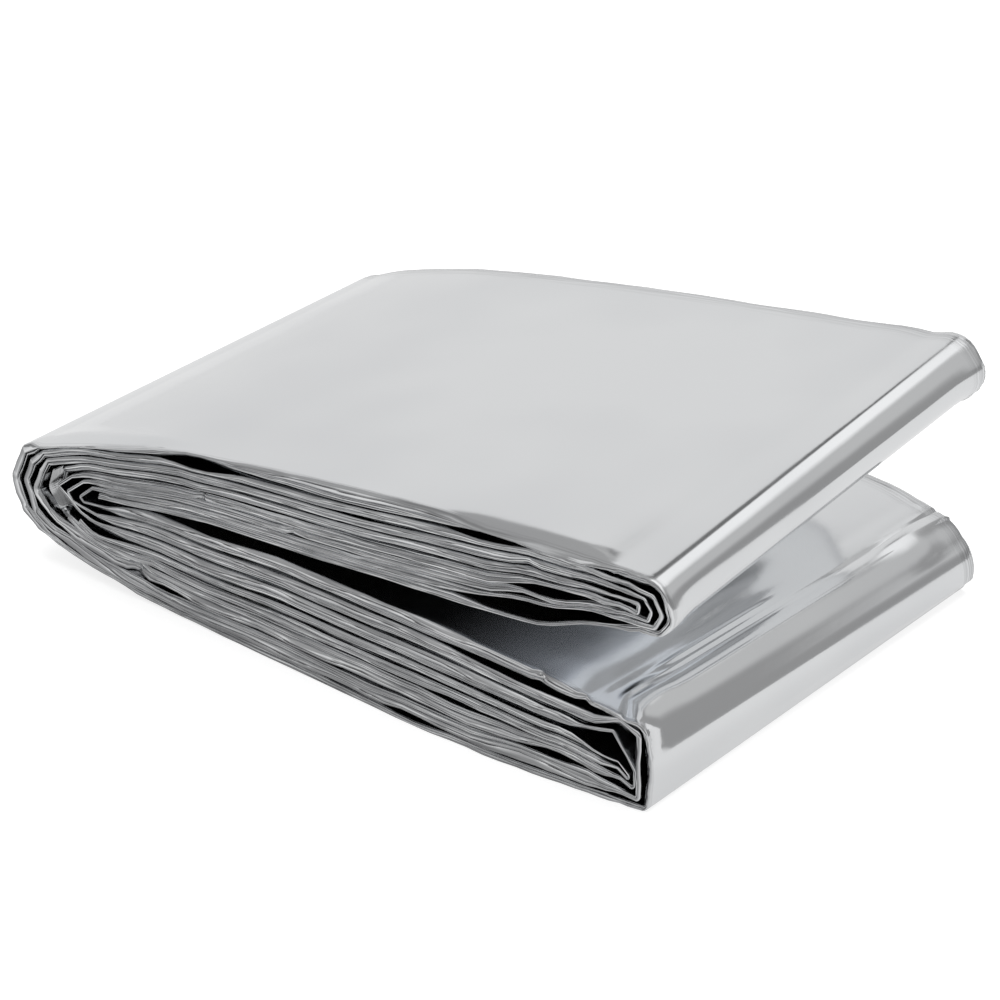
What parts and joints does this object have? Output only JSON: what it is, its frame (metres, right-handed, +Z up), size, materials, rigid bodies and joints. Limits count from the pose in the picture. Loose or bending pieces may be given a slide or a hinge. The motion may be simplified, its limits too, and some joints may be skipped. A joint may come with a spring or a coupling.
{
  "type": "folded emergency foil blanket",
  "caption": "Emergency blanket of thin bright metallised film, pleated, wound flat and doubled over into a springy pack whose layers wrap one end and whose other end stands open.",
  "frame": {"origin": "middle of the bounding box, on the surface that the folded blanket lies on", "axes": "+X along the length, from the nose that the layers wrap to the open end; +Y across the width, towards the side where the upper half stands higher; +Z up"},
  "size_m": [0.1358, 0.0902, 0.0439],
  "materials": {
    "metallised_film": "bright mirror-like metallised film, finely crinkled at its folds"
  },
  "bodies": {
    "root": {"foil_blanket": "metallised_film"}
  },
  "joints": []
}
